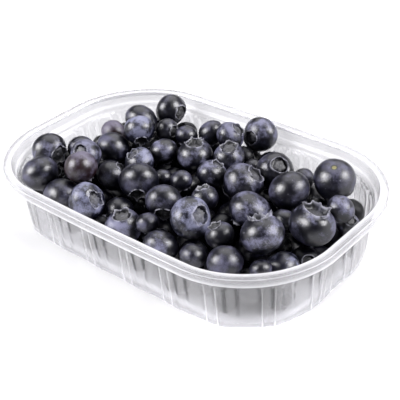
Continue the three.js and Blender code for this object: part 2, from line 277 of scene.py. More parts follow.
# ---- berry skin: noises are a scale, a detail and, if it isn't the usual one, a roughness ----
BARE = (0.0025, 0.0025, 0.008)
SKINS = {  # bare skin, bloom, how much of it is bloomed, how unevenly, and gloss
    "dark": (BARE, (0.1, 0.098, 0.17), 0.16, 3.4, 1),
    "mottled": (BARE, (0.198, 0.198, 0.31), 0.34, 4.6, 1),
    "bloomed": ((0.003, 0.0035, 0.012), (0.262, 0.272, 0.41), 0.5, 5, 1),
    "reddish": ((0.018, 0.006, 0.008), (0.155, 0.135, 0.2), 0.45, 4.6, 1),
    # these two are darker, less glossy copies of the skin: painted shade on berries low in the heap
    "under": ((0.001, 0.001, 0.004), (0.03, 0.029, 0.056), 0.25, 2, 0.5),
    "deep": ((0.001, 0.001, 0.002), (0.015, 0.014, 0.026), 0.2, 2, 0.3),
}
NOISE_ROUGHNESS = 0.6
PATCHES = (1.1, 2)
MOTTLE = (4, 6, 0.7)
SPECKS = (13, 4, 0.7)
FLECKS = (6.5, 1)
MOTTLE_WEIGHT = 1.7
SPECK_WEIGHT = 2.2
TONE_AND_SHADE_WEIGHT = 0.35
WORN_AND_SHADED_WEIGHT = -1.1
FLECK_RANGE = (0.72, 0.76, 0, 0.5)  # from and to in the noise, and how much shows there
FLECK_COLOUR = (0.3, 0.3, 0.36)
PAPER_SHOWN = 0.85  # how much of the disc's paper shows
PAPER_RANGE = (0.38, 0.58)  # of the mottle, as are the next two
PAPER_CRACKS = (0.008, 0.008, 0.01)
PAPER_DARK = (0.02, 0.02, 0.024)
PAPER_PALE = (0.2, 0.2, 0.21)
FRILL_SHOWN = 0.8
FRILL_RANGE = (0.35, 0.58)
FRILL_DARK = (0.05, 0.05, 0.065)
FRILL_PALE = (0.56, 0.56, 0.66)
# the groove's near-black: partly the crown's own dark inside, partly painted shade
HOLLOW_RANGE = (0.42, 0.54, 0.1, 1)
HOLLOW_DARK_AND_SHADE = (0.002, 0.002, 0.003)
SCAR_RANGE = (0.12, 0.3)
SCAR_COLOUR = (0.01, 0.009, 0.007)
DRY_RANGE = (0.45, 0.6)
DRY_BROWN = (0.03, 0.025, 0.02)
DRY_GREEN = (0.24, 0.22, 0.08)
DRY_GREEN_TONES = (0.8, 1)
BERRY_ROUGHNESS = (0.28, 0.52)  # bare and bloomed
CROWN_ROUGHER = 0.25
BERRY_IOR = 1.55
BUMP_STRENGTH = 0.3
BUMP_HEIGHT = 0.0003  # metres

# ---- the other materials ----
CORE_NOISE = (300, 3)
# near-black: painted shade of the heap's depths
CORE_SHADE_COLOURS = ((0.001, 0.001, 0.002), (0.004, 0.004, 0.006))
CORE_ROUGHNESS = 0.8
CORE_GLOSS = 0.05
CLOUDS = (60, 3)
CLOUD_RANGE = (0.3, 0.7, 0.18, 0.24)  # from and to in the noise, and the haze there
CLOUD_TINTS = ((0.66, 0.66, 0.675), (0.74, 0.74, 0.75))
# colour and opacity of what the edge mask paints: white highlight lines, and the whiter foot
EDGE_TINT = (0.95, 0.95, 0.97)
EDGE_OPACITY = 0.8
STEP_HAZE = 0.1  # share of the haze that is left on a step
PLASTIC_ROUGHNESS = (0.17, 0.05)  # between the steps and on them
PLASTIC_IOR = 1.45
SHADOW_TINT = (0.88, 0.88, 0.88)
FLOOR_COLOUR = (0.99, 0.99, 0.985)
FLOOR_ROUGHNESS = 0.9
FLOOR_GLOSS = 0.1
FLOOR_HALF = 1500

# ---- light ----
SOFTBOXES = {  # direction as the camera sees it (right, up, towards it), strength, width in radians
    "softbox_left": ((-0.84, 0.36, 0.38), 3.1, 0.58),
    "softbox_right": ((0.75, 0.42, 0.46), 3.0, 0.58),
    "softbox_top": ((0.1, 0.95, 0.0), 1.4, 1.2),
}
LAMP_COLOUR = (0.98, 0.972, 1)
ROOM_COLOUR = (1, 1, 1)
ROOM_LIGHT = 0.045
BACKDROP = 1.2

# ---- outline of the tray ----
HALF_LENGTH = LENGTH / 2
HALF_WIDTH = WIDTH / 2
STRAIGHT_X = HALF_LENGTH - CORNER_RADIUS
STRAIGHT_Y = HALF_WIDTH - CORNER_RADIUS
WALL_RADIUS = CORNER_RADIUS - LEDGE_INSET
CORNER_LENGTH = (math.pi / 2) * WALL_RADIUS
QUARTER_PITCHES = LONG_SIDE_PITCHES / 2 + ROUND_PITCHES
PITCHES = round(4 * QUARTER_PITCHES)  # flutes all the way round
LEDGE_HEIGHT = RIM_HEIGHT - NECK_DEPTH
NECK_INSET = FLANGE_WIDTH + NECK_LEAN
FLOOR = PANEL_RISE + WALL


def bow(x, ny):
    """How far a long side bows outwards at x, where the outward normal's y part is ny."""
    return SIDE_BOW * (1 - (x / HALF_LENGTH) ** 2) * ny * ny


def quarter_place(pitches):
    """A place on the quarter outline, counted in flute pitches from a long side's middle."""
    straight = LONG_SIDE_PITCHES / 2
    if pitches <= straight:
        return pitches / straight * STRAIGHT_X, STRAIGHT_Y, 0, 1
    along = (pitches - straight) / ROUND_PITCHES * (CORNER_LENGTH + STRAIGHT_Y)
    if along >= CORNER_LENGTH:
        return STRAIGHT_X, STRAIGHT_Y - (along - CORNER_LENGTH), 1, 0
    turn = along / WALL_RADIUS
    return STRAIGHT_X, STRAIGHT_Y, math.sin(turn), math.cos(turn)


def outline_place(pitches):
    """The same for the whole outline, counter-clockwise from the middle of the +Y side."""
    quarter = int(pitches // QUARTER_PITCHES)
    part = pitches - quarter * QUARTER_PITCHES
    x, y, nx, ny = quarter_place(part if quarter % 2 == 0 else QUARTER_PITCHES - part)
    sign_x = -1 if quarter < 2 else 1
    sign_y = 1 if quarter in (0, 3) else -1
    return x * sign_x, y * sign_y, nx * sign_x, ny * sign_y


def outline_points(places, inset):
    """Points at an inset from the flange's outer edge; places is an array of outline places."""
    reach = CORNER_RADIUS - inset
    x = places[:, 0] + places[:, 2] * reach
    y = places[:, 1] + places[:, 3] * reach
    y = y + bow(x, places[:, 3]) * np.sign(places[:, 3])
    return np.stack([x, y], axis=1)


def wall_inset(z, foot=FOOT_INSET):
    """Outer skin of the drafted wall, without its flutes, for its inset at the foot."""
    drop = (LEDGE_HEIGHT - z) / (LEDGE_HEIGHT - BOTTOM_RADIUS)
    return LEDGE_INSET + (foot - LEDGE_INSET) * drop


# ---- meshes ----
def new_mesh_object(name, points, faces, material, attributes=None):
    """A smooth-shaded object from points in millimetres."""
    mesh = bpy.data.meshes.new(name)
    mesh.from_pydata((np.asarray(points) * MM).tolist(), [], faces)
    for key, values in (attributes or {}).items():
        kind = "FLOAT_VECTOR" if values.ndim == 2 else "FLOAT"
        layer = mesh.attributes.new(key, kind, "POINT")
        field = "vector" if values.ndim == 2 else "value"
        layer.data.foreach_set(field, values.astype(np.float32).ravel())
    mesh.polygons.foreach_set("use_smooth", [True] * len(mesh.polygons))
    mesh.materials.append(material)
    mesh.validate()
    piece = bpy.data.objects.new(name, mesh)
    bpy.context.scene.collection.objects.link(piece)
    return piece


def skin_faces(rings, count, start=0):
    """Faces of a closed skin: point start, then rings of count points, then one last point."""
    base = start + 1
    end = base + (rings - 1) * count
    last = end + count
    ring = base + np.arange(rings - 1)[:, None] * count
    near = np.arange(count)[None, :]
    after = (near + 1) % count
    corners = [ring + near, ring + after, ring + count + after, ring + count + near]
    quads = np.stack(corners, axis=-1)
    fans = [[start, base + (i + 1) % count, base + i] for i in range(count)]
    fans += [[last, end + i, end + (i + 1) % count] for i in range(count)]
    return quads.reshape(-1, 4).tolist() + fans


# ---- the tray ----
def rounded(corners):
    """A section through corners (inset, height, flute weight, radius), each one rounded."""
    out = [corners[0][:3]]
    for before, corner, after in zip(corners, corners[1:], corners[2:]):
        place = np.array(corner[:2], float)
        back = np.array(before[:2], float) - place
        on = np.array(after[:2], float) - place
        room = ROUNDING_ROOM * min(np.linalg.norm(back), np.linalg.norm(on))
        back = back / np.linalg.norm(back)
        on = on / np.linalg.norm(on)
        half = 0.5 * math.acos(max(-1.0, min(1.0, float(back @ on))))
        reach = min(corner[3] / math.tan(half), room)
        for step in range(ROUNDING_STEPS + 1):
            share = step / ROUNDING_STEPS
            start = place + back * reach * (1 - share)
            end = place + on * reach * share
            point = start * (1 - share) + end * share
            out.append((point[0], point[1], corner[2]))
    out.append(corners[-1][:3])
    return out


def spread(section, spacing):
    """The same section with points no further apart than spacing where the flutes run."""
    out = [section[0]]
    for start, end in zip(section, section[1:]):
        length = math.dist(start[:2], end[:2])
        pieces = math.ceil(length / spacing) if start[2] or end[2] else 1
        for i in range(1, pieces + 1):
            share = i / pieces
            out.append(tuple(a + (b - a) * share for a, b in zip(start, end)))
    return out


def tray_section():
    """Corners of the tray's one closed skin, from its underside round the flange to its floor:
    inset, height, how deep the flutes are there, and rounding radius."""
    foot_outer = FOOT_INSET + BOTTOM_RADIUS * FOOT_START
    foot_inner = foot_outer + FOOT_WIDTH
    panel_edge = foot_inner + PANEL_RISE
    return [
        (panel_edge + PANEL_MARGIN, PANEL_RISE, 0, 0),
        (panel_edge, PANEL_RISE, 0, FOOT_SOFTNESS),
        (foot_inner, 0, 0, FOOT_SOFTNESS),
        (foot_outer, 0, FLUTE_AT_FOOT, BOTTOM_RADIUS),
        (wall_inset(BOTTOM_RADIUS), BOTTOM_RADIUS, FLUTE_AT_FOOT, BOTTOM_RADIUS),
        (wall_inset(FLUTE_TOP), FLUTE_TOP, 1, 0.3),
        (LEDGE_INSET, LEDGE_HEIGHT - WALL, 0, 0.8),
        (NECK_INSET, LEDGE_HEIGHT, 0, 0.8),
        (FLANGE_WIDTH, RIM_HEIGHT - WALL, 0, 0.7),
        (WALL, RIM_HEIGHT - WALL, 0, 0.3),
        (WALL, RIM_HEIGHT - SKIRT_DEPTH, 0, 0.2),
        (0, RIM_HEIGHT - SKIRT_DEPTH, 0, 0.2),
        (0, RIM_HEIGHT, 0, 0.8),
        (FLANGE_WIDTH + WALL, RIM_HEIGHT, 0, 0.9),
        (NECK_INSET + WALL, LEDGE_HEIGHT + WALL, 0, 0.7),
        (LEDGE_INSET + WALL, LEDGE_HEIGHT, 0, 0.8),
        (wall_inset(FLUTE_TOP) + WALL, FLUTE_TOP, 1, 0.3),
        (wall_inset(BOTTOM_RADIUS) + WALL, BOTTOM_RADIUS, FLUTE_AT_FOOT, BOTTOM_RADIUS),
        (foot_outer, WALL, FLUTE_AT_FOOT, BOTTOM_RADIUS),
        (foot_inner, WALL, 0, FOOT_SOFTNESS),
        (panel_edge, FLOOR, 0, FOOT_SOFTNESS),
        (panel_edge + PANEL_MARGIN, FLOOR, 0, 0),
    ]


def flute_share(pitches, z):
    """How deep the niches are at places along the outline: two nested arches, one step each.
    Also how near each place is to the middle of a step, and to the lips beside it, which get
    painted highlight lines."""
    from_middle = np.abs(pitches - np.round(pitches))
    rise = min(max((FLUTE_TOP - z) / FLUTE_ARCH, 0), 1)
    narrowing = math.sqrt(rise * (2 - rise))
    depth = np.zeros_like(pitches)
    steep = np.zeros_like(pitches)
    lip = np.zeros_like(pitches)
    if rise == 0:
        return depth, steep, lip
    lip_share = np.where(pitches > np.round(pitches), 1, LIP_FAINT)
    for edge in NICHE_EDGES:
        reach = (edge * narrowing - from_middle) / FLUTE_STEP
        share = np.clip(reach, 0, 1)
        depth += share * share * (3 - 2 * share) / len(NICHE_EDGES)  # a smooth step
        steep += np.minimum(6 * share * (1 - share), 1)  # its slope
        lip += lip_share * np.exp(-((reach / LIP_WIDTH) ** 2))
    return depth, steep, np.minimum(lip, 1)


def spaced(start, end, count):
    """Evenly spaced places from start on, without the end."""
    return list(np.linspace(start, end, count, endpoint=False))


def tray_stations():
    """Places round the tray in pitches, close together where a step is and wide between."""
    half = []
    level_end = 0
    for edge in reversed(NICHE_EDGES):
        step_end = edge - FLUTE_STEP - LIP_SPREAD
        half += spaced(edge + LIP_SPREAD, step_end, STEP_STATIONS)
        half += spaced(step_end, level_end, FLAT_STATIONS)
        level_end = edge + LIP_SPREAD
    half += spaced(0.5, level_end, FLAT_STATIONS)
    half = np.round(half, 6)
    places = np.arange(PITCHES)[:, None] + np.concatenate([-half, half])
    return np.unique(np.round(places.ravel() % PITCHES, 6))


def rim_highlight(inset, z):
    """How much white highlight is painted on the plastic for being near an edge of the rim."""
    return sum(
        math.exp(-(math.dist((inset, z), corner) ** 2) / EDGE_WIDTH**2) for corner in RIM_EDGES
    )


def build_tray(material):
    """The tray as one closed skin. Its masks say where it is stretched clear, and where it is
    painted white: highlight lines on its edges and lips, and its foot.
    """
    pitches = tray_stations()
    places = np.array([outline_place(p) for p in pitches])
    rows = spread(rounded(tray_section()), ROW_SPACING)
    points = [[(0, 0, PANEL_RISE)]]
    steps = [[0]]
    edges = [[0]]
    lip_highlight = LIP_HIGHLIGHT
    step_share = 1
    for inset, z, weight in rows:
        if z == RIM_HEIGHT:  # from here on the rows run across the flange and down the inside
            lip_highlight = INNER_LIP_HIGHLIGHT
            step_share = INNER_STEP
        depth, steep, lip = flute_share(pitches, max(z, BOTTOM_RADIUS))
        flat = outline_points(places, inset + NICHE_DEPTH * depth * weight)
        points.append(np.column_stack([flat, np.full(len(flat), z)]))
        shown = min(2 * weight, 1)  # in full from half the niches' depth on
        flange = FLANGE_CLEAR if z >= RIM_HEIGHT - WALL else 0
        steps.append(np.maximum(steep * shown * step_share, flange))
        # the edge mask: painted highlight lines on the lips and the rim's edges, and a whiter foot
        foot = FOOT_WHITENING * math.exp(-((z / FOOT_WHITENING_HEIGHT) ** 2))
        edges.append(np.minimum(lip_highlight * lip * shown + rim_highlight(inset, z) + foot, 1))
    points.append([(0, 0, FLOOR)])
    steps.append([0])
    edges.append([0])
    faces = skin_faces(len(rows), len(pitches))
    attributes = {"step": np.concatenate(steps), "edge": np.concatenate(edges)}
    tray = new_mesh_object("tray", np.concatenate(points), faces, material, attributes)
    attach(tray, "root")
    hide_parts("punnet")


# ---- the heap ----
def random_from(seed):
    """Seeded random numbers from 0 to 1, the same as the CAD model's."""
    state = seed
    while True:
        state = (state * RANDOM_FACTOR + RANDOM_STEP) % RANDOM_RANGE
        yield state / RANDOM_RANGE


def inside_outline(x, y):
    """How far inside the flange's outer edge a point is, and the outward normal there."""
    over_x = abs(x) - STRAIGHT_X
    over_y = abs(y) - STRAIGHT_Y
    nx, ny = (1, 0) if over_x > over_y else (0, 1)
    out = max(over_x, over_y)
    if over_x > 0 and over_y > 0:
        out = math.sqrt(over_x * over_x + over_y * over_y)
        nx, ny = over_x / out, over_y / out
    depth = CORNER_RADIUS + bow(x, ny) - out
    return depth, math.copysign(nx, x), math.copysign(ny, y)


def inner_inset(z):
    """How far in the heap may reach at a height, clear of the flutes at their deepest."""
    if z > LEDGE_HEIGHT:
        return NECK_INSET + WALL
    flute = FLUTE_DEPTH if z < FLUTE_TOP else 0
    return wall_inset(max(z, 0), HEAP_FOOT_INSET) + WALL + flute


def wall_reach(z, level, radius):
    """How far in from the flange's edge a berry's middle has to be, for the wall at a level."""
    return inner_inset(z + level * radius) + (radius * math.sqrt(1 - level * level) + FOOD_GAP)


def keep_inside(berry):
    """Pushes a berry off the floor and the walls."""
    radius = berry.size / 2 * FACET_ALLOWANCE
    berry.z = max(berry.z, FLOOR + FOOD_GAP + radius)
    for level in LEVELS:
        depth, nx, ny = inside_outline(berry.x, berry.y)
        over_rim = berry.z + level * radius > RIM_HEIGHT
        excess = 0 if over_rim else wall_reach(berry.z, level, radius) - depth
        if excess > 0:
            berry.x -= nx * excess
            berry.y -= ny * excess


def push_apart(a, b):
    """Pushes two berries apart where they overlap; the one that yields more moves further."""
    dx, dy, dz = b.x - a.x, b.y - a.y, b.z - a.z
    distance = math.sqrt(dx * dx + dy * dy + dz * dz)
    overlap = (a.size + b.size) / 2 - distance
    if overlap <= 0:
        return
    share = overlap / (distance * (a.yields + b.yields))
    for berry, way in ((a, -a.yields), (b, b.yields)):
        berry.x += dx * share * way
        berry.y += dy * share * way
        berry.z += dz * share * way


def new_berry(x, y, z, size, yields, crown, skin):
    return SimpleNamespace(x=x, y=y, z=z, size=size, yields=yields, crown=crown, skin=skin)


def layer(index, random):
    """One layer of berries underneath, on a triangular grid that each berry leaves a little."""
    small, large = FILL_SIZES
    z = LAYER_HEIGHTS[index]
    pitch = LAYER_PITCH[index]
    row_pitch = pitch * math.sqrt(3) / 2
    rows = math.ceil(HALF_WIDTH / row_pitch)
    columns = math.ceil(HALF_LENGTH / pitch)
    berries = []
    for row in range(-rows, rows + 1):
        for column in range(-columns, columns + 1):
            half = 0 if (row + index) % 2 == 0 else 0.5
            x = (column + half) * pitch + (next(random) - 0.5) * LOOSENESS
            y = row * row_pitch + (next(random) - 0.5) * LOOSENESS
            size = small + (large - small) * next(random)
            room = inside_outline(x, y)[0] - inner_inset(z) - size / 2
            back_edge = EMPTY_BACK_EDGE - EMPTY_END_SLOPE * max(0, -x - EMPTY_END_FROM)
            if room > -LOOSENESS and not (index > 0 and y > back_edge):
                berries.append(new_berry(x, y, z, size, FILL_YIELD, None, "under"))
    return berries


def heap_of_berries():
    """The berries on top and the layers under them, shifted until they barely overlap."""
    random = random_from(SEED)
    berries = [
        new_berry(x, y, z, size, TOP_YIELD, crown, skin)
        for z, places in TOP_BERRIES.items()
        for x, y, size, crown, skin in places
    ]
    for index in range(len(LAYER_HEIGHTS)):
        berries += layer(index, random)
    for _ in range(SHIFTS):
        for i, a in enumerate(berries):
            for b in berries[i + 1 :]:
                if abs(a.x - b.x) < TOUCHING and abs(a.y - b.y) < TOUCHING:
                    push_apart(a, b)
        for berry in berries:
            keep_inside(berry)
    return berries


def as_balls(berries):
    """The berries' centres and radii, as one array."""
    return np.array([(berry.x, berry.y, berry.z, berry.size / 2) for berry in berries])


def hills(flat, berries, sink, plateau, slope, lowest):
    """Heights at points of a surface that rises to a little under each berry's middle, by sink,
    stays level for a share of its radius, the plateau, and then slopes down."""
    balls = as_balls(berries)
    away = np.hypot(flat[:, :1] - balls[:, 0], flat[:, 1:] - balls[:, 1]) - plateau * balls[:, 3]
    heights = balls[:, 2] - sink - slope * np.maximum(away, 0)
    return np.maximum(heights.max(axis=1), lowest)


def model_core_top(flat, berries):
    """Height of the CAD model's core at points."""
    low = FLOOR + MODEL_CORE_FLOOR
    return hills(flat, berries, MODEL_CORE_SINK, MODEL_CORE_PLATEAU, MODEL_CORE_SLOPE, low)


def clear_of_wall(x, y, z, radius):
    """Whether a berry would stay inside the wall."""
    depth = inside_outline(x, y)[0]
    return all(wall_reach(z, level, radius) <= depth for level in LEVELS)


def deep_berries(berries):
    """Berries in the place of the CAD model's core: largest first, each as high as it fits."""
    rng = np.random.default_rng(SEED)
    across = rng.uniform(-HALF_LENGTH, HALF_LENGTH, DEEP_TRIES)
    spots = np.column_stack([across, rng.uniform(-HALF_WIDTH, HALF_WIDTH, DEEP_TRIES)])
    tops = model_core_top(spots, berries)
    taken = as_balls(berries)
    found = []
    for (x, y), top, size in zip(spots, tops, np.linspace(*DEEP_SIZES, DEEP_TRIES)):
        radius = size / 2
        lowest = FLOOR + FOOD_GAP + radius
        highest = max(top - DEEP_SINK * size, LAYER_HEIGHTS[0])
        for z in np.linspace(highest, lowest, DEEP_LEVELS):
            gaps = np.linalg.norm(taken[:, :3] - (x, y, z), axis=1) - taken[:, 3] - radius
            if gaps.min() > -DEEP_OVERLAP and clear_of_wall(x, y, z, radius):
                taken = np.vstack([taken, (x, y, z, radius)])
                found.append(new_berry(x, y, z, size, FILL_YIELD, None, "deep"))
                break
    return found


def build_core(berries, material):
    """The dark body under the berries, which shuts off the view down between them; its near-black
    is painted shade.
    """
    pitches = np.arange(CORE_STATIONS) / CORE_STATIONS * PITCHES
    places = np.array([outline_place(p) for p in pitches])
    bottom = FLOOR + CORE_GAP

    def top(flat):
        return hills(flat, berries, CORE_SINK, CORE_PLATEAU, CORE_SLOPE, bottom + CORE_LOWEST)

    foot = outline_points(places, inner_inset(bottom) + CORE_INSET)
    shoulder = outline_points(places, inner_inset(CORE_SHOULDER) + CORE_INSET)
    rings = [np.column_stack([foot * share, np.full(len(foot), bottom)]) for share in CORE_BOTTOM]
    for ring in range(CORE_RINGS):
        flat = shoulder * (1 - ring / CORE_RINGS)
        rings.append(np.column_stack([flat, top(flat)]))
    centre = np.array([[0.0, 0.0]])
    points = [np.array([[0, 0, bottom]]), *rings, np.column_stack([centre, top(centre)])]
    faces = skin_faces(len(rings), CORE_STATIONS)
    core = new_mesh_object("heap_core", np.concatenate(points), faces, material)
    add_berry_piece(core)


def add_berry_piece(piece):
    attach(piece, "root")
    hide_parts("blueberries")


# ---- one berry ----
def relief(rng, points, depth, count, low, high):
    """Smooth random bumps at points: the mean of some waves, with frequencies from low to high."""
    way = rng.normal(size=(count, 3))
    way /= np.linalg.norm(way, axis=1)[:, None]
    way = way * rng.uniform(low, high, (count, 1))
    phase = rng.uniform(0, 2 * math.pi, count)
    return depth * np.cos(points @ way.T + phase).mean(axis=1)


def bell(away, width):
    """1 where away is nothing, and near 0 from twice the width on."""
    return np.exp(-((away / width) ** 2))


def circle(turn, radius, height):
    """Points round the berry's axis; radius and height may change with the turn."""
    height = np.broadcast_to(height, turn.shape)
    return np.stack([radius * np.cos(turn), radius * np.sin(turn), height], axis=1)


def new_crown(rng, turn, own_crown):
    """A crown's sizes, and how it changes with the turn: how far its lobes stand up, how the
    hollow runs in and out between them, and how deep the groove is."""
    radius = rng.uniform(*CROWN_RADIUS)
    groove = rng.uniform(*GROOVE_DEPTH)
    height = rng.uniform(*LOBE_HEIGHT)
    flare = rng.uniform(*LOBE_FLARE)
    raggedness, sharpness = PLAIN_LOBES
    disc_depth = PLAIN_DISC * groove
    if own_crown:
        radius, height = own_crown
        groove = LARGE_GROOVE
        flare = LARGE_FLARE
        raggedness, sharpness = LARGE_LOBES
        disc_depth = LARGE_DISC * groove
    phase = (turn / (2 * math.pi) * LOBES + rng.uniform(0, 1)) % 1
    teeth = 1 - np.abs(2 * phase - 1)
    ragged = sum(
        rng.uniform(*RAG_SIZES) * np.cos(k * turn + rng.uniform(0, 2 * math.pi)) for k in RAG_WAVES
    )
    lobe = np.clip(teeth**sharpness * (1 + raggedness * ragged), 0, LOBE_MOST)
    lobe = lobe - NOTCH_DEPTH * (1 - teeth) ** 3
    tilt = np.cos(turn + 2 * math.pi * phase[0])
    return SimpleNamespace(
        radius=radius,
        disc_depth=disc_depth,
        out=flare * lobe,
        up=height * lobe,
        star=0.5 - teeth + STAR_RAGGEDNESS * ragged,
        groove=groove * (GROOVE_MEAN + GROOVE_TILT * tilt),
    )


def crown_profile(rim, disc, groove):
    """The crown's rings from its middle outwards: radius in crown radii, height (None on the
    body's own round), shares of the lobes' way out and up, and masks for disc, groove and frill."""
    return [
        (0.07, disc + 0.012, 0, 0, 1, 0, 0),
        (0.13, disc + 0.02, 0, 0, 1, 0, 0.3),
        (0.2, disc - 0.004, 0, 0, 1, 0, 0),
        (0.36, disc + 0.01, 0, 0, 1, 0, 0),
        (0.52, disc + 0.006, 0, 0, 1, 0, 0),
        (0.64, disc - 0.01, 0, 0, 1, 0, 0),
        (0.74, disc - 0.03, 0, 0, 0.6, 0.5, 0),
        (0.8, rim - groove, 0, 0, 0, 1, 0),
        (0.9, rim - 1.1 * groove, 0, 0, 0, 1, 0),
        (0.955, rim - 0.4 * groove, 0.3, 0.4, 0, 0.8, 0),
        (0.985, rim, 0.9, 0.95, 0, 0.1, 0.8),
        (1.01, rim + 0.004, 1, 1, 0, 0, 1),
        (1.05, rim - 0.012, 0.5, 0.45, 0, 0, 0.6),
        (1.12, None, 0.05, 0, 0, 0, 0.3),
    ]


def crown_rings(turn, crown, wobble, flatness, profile):
    """For each of the crown's rings its points, their directions on the plain ball, and masks."""
    rings = []
    for share, height, out, up, *masks in profile:
        pinch = CROWN_PINCH * bell(share - PINCH_PLACE, PINCH_WIDTH)
        radius = crown.radius * share * wobble * (1 + pinch * crown.star)
        side = np.sqrt(np.clip(1 - radius * radius, 0, 1))
        if height is None:
            height = side * flatness
        points = circle(turn, radius + out * crown.out, height + up * crown.up)
        rings.append((points, circle(turn, radius, side), np.tile(masks, (len(turn), 1))))
    return rings


def body_rings(turn, crown, wobble, flatness, rows):
    """The same for the rings of the body, from the crown down to the stalk's dimple."""
    rings = []
    first = math.asin(crown.radius * BODY_START)
    for row in range(rows):
        share = row / (rows - 1)
        polar = first + (math.pi - STALK_ANGLE - first) * share**BODY_SPREAD
        radius = math.sin(polar) * (1 + (wobble - 1) * (1 - share) ** 3)
        ways = circle(turn, radius, math.cos(polar))
        dimple = DIMPLE_DEPTH * bell(math.pi - polar, DIMPLE_WIDTH)
        rings.append((ways * (1 - dimple) * (1, 1, flatness), ways, np.zeros((len(turn), 3))))
    return rings


def berry_shape(rng, columns, body_rows, own_crown):
    """Points of one berry of radius 1, crown up, with what its skin needs at each point.
    own_crown is a large crown's radius and the height of its lobes, or is empty."""
    turn = np.arange(columns) / columns * 2 * math.pi
    crown = new_crown(rng, turn, own_crown)
    wobble = 1
    for waves, size in WOBBLES:
        wobble = wobble + size * np.cos(waves * turn + rng.uniform(0, WOBBLE_TURN))
    flatness = rng.uniform(*FLATNESS)
    rim = math.sqrt(1 - crown.radius * crown.radius) * flatness
    disc = rim - crown.disc_depth
    rings = crown_rings(turn, crown, wobble, flatness, crown_profile(rim, disc, crown.groove))
    rings += body_rings(turn, crown, wobble, flatness, body_rows)
    points, ways, masks = zip(*rings)
    middle = [(0, 0, disc + DISC_MIDDLE)]
    stalk = [(0, 0, -STALK_HEIGHT * flatness)]
    points = np.concatenate([middle, *points, stalk])
    ways = np.concatenate([[(0, 0, 1)], *ways, [(0, 0, -1)]])
    disc_mask, groove, frill = np.concatenate([[DISC_MASKS], *masks, [(0, 0, 0)]]).T
    lumps = relief(rng, ways, *LUMPS) + relief(rng, ways, *SMALL_LUMPS)
    wrinkles = relief(rng, points, *WRINKLES) * disc_mask
    points = points * (1 + lumps)[:, None]
    points[:, 2] += wrinkles
    scar = bell(math.pi - np.arccos(np.clip(ways[:, 2], -1, 1)), SCAR_WIDTH)
    return points, ways, (disc_mask, groove, frill, scar), len(rings)


def view_axes():
    """The camera's axes: right, up and back, in the frame."""
    return (
        Matrix.Rotation(CAMERA_YAW, 3, "Z")
        @ Matrix.Rotation(math.pi / 2 - CAMERA_PITCH, 3, "X")
        @ Matrix.Rotation(CAMERA_ROLL, 3, "Z")
    )


def berry_axes(berry):
    """Axes at a berry: right and up as the camera sees it, and towards the camera."""
    toward = (Vector(CAMERA_PLACE) - Vector((berry.x, berry.y, berry.z))).normalized()
    right = (view_axes() @ Vector((0, 1, 0))).cross(toward).normalized()
    return Matrix((right, toward.cross(right), toward)).transposed()


def crown_way(berry, rng):
    """Which way the berry's crown faces, in the frame."""
    if berry.skin in HIDDEN:
        way = rng.normal(size=3)
        return Vector(way / np.linalg.norm(way))
    if berry.crown is None:
        most, up, toward = HIDDEN_WAY
        way = (rng.uniform(-most, most), up, toward)
    elif berry.crown == "stalk":
        way = STALK_WAY
    else:
        right, up = berry.crown[:2]
        way = (right, up, math.sqrt(max(EDGE_ON, 1 - right * right - up * up)))
    return (berry_axes(berry) @ Vector(way)).normalized()


def bloom_tone_and_shade(berry, own_crown, rng):
    """How strong a berry's bloom is, and how pale its crown's disc and its stalk scar are; lower
    berries get less, as painted shade.
    """
    # a random tone, less for each millimetre under the top berries as painted shade
    tone = rng.uniform(0, 1) - DEPTH_SHADE * (max(TOP_BERRIES) - berry.z)
    if own_crown:
        return LARGE_TONE
    return STALK_TONE if berry.crown == "stalk" else tone


def rubbed(points, berry, berries):
    """How thin, and so how dark, the bloom is at points of a berry, up to 1: where it touches the
    next berry, partly as wear and partly as painted shade, and on its underside, as painted shade."""
    gaps = np.full(len(points), RUB_AND_SHADE_REACH)
    for other in berries:
        reach = (berry.size + other.size) / 2 + RUB_AND_SHADE_REACH
        apart = math.dist((berry.x, berry.y, berry.z), (other.x, other.y, other.z))
        if other is not berry and apart < reach:
            away = np.linalg.norm(points - (other.x, other.y, other.z), axis=1)
            gaps = np.minimum(gaps, away - other.size / 2)
    near = 1 - np.clip(gaps, 0, RUB_AND_SHADE_REACH) / RUB_AND_SHADE_REACH
    # painted shade: the bloom thins away on the berry's underside
    under = np.clip((berry.z - points[:, 2]) / (berry.size / 2) + UNDERSIDE_SHADE, 0, 1)
    return np.maximum(near, under)


def build_berries(berries, skins):
    """One joined piece for each kind of skin."""
    rng = np.random.default_rng(SEED)
    kinds = {}
    for berry in berries:
        columns, body_rows = UNDER_DETAIL if berry.skin in HIDDEN else TOP_DETAIL
        own_crown = berry.crown[2:] if isinstance(berry.crown, tuple) else ()
        points, ways, masks, rings = berry_shape(rng, columns, body_rows, own_crown)
        crown = crown_way(berry, rng)
        spin = Matrix.Rotation(rng.uniform(0, 2 * math.pi), 3, "Z")
        turn = np.array(crown.to_track_quat("Z", "Y").to_matrix() @ spin)
        placed = points @ turn.T * berry.size / 2 + np.array([berry.x, berry.y, berry.z])
        kind = kinds.setdefault(berry.skin, SimpleNamespace(points=[], faces=[], parts=[], count=0))
        kind.faces += skin_faces(rings, columns, kind.count)
        kind.points.append(placed)
        kind.count += len(placed)
        own = ways + rng.uniform(-OWN_SPREAD, OWN_SPREAD, 3)
        tone = np.full(len(placed), bloom_tone_and_shade(berry, own_crown, rng))
        kind.parts.append((own, tone, rubbed(placed, berry, berries), *masks))
    for name, kind in kinds.items():
        values = [np.concatenate(part) for part in zip(*kind.parts)]
        attributes = dict(zip(BERRY_ATTRIBUTES, values))
        points = np.concatenate(kind.points)
        piece = new_mesh_object("berries_" + name, points, kind.faces, skins[name], attributes)
        add_berry_piece(piece)


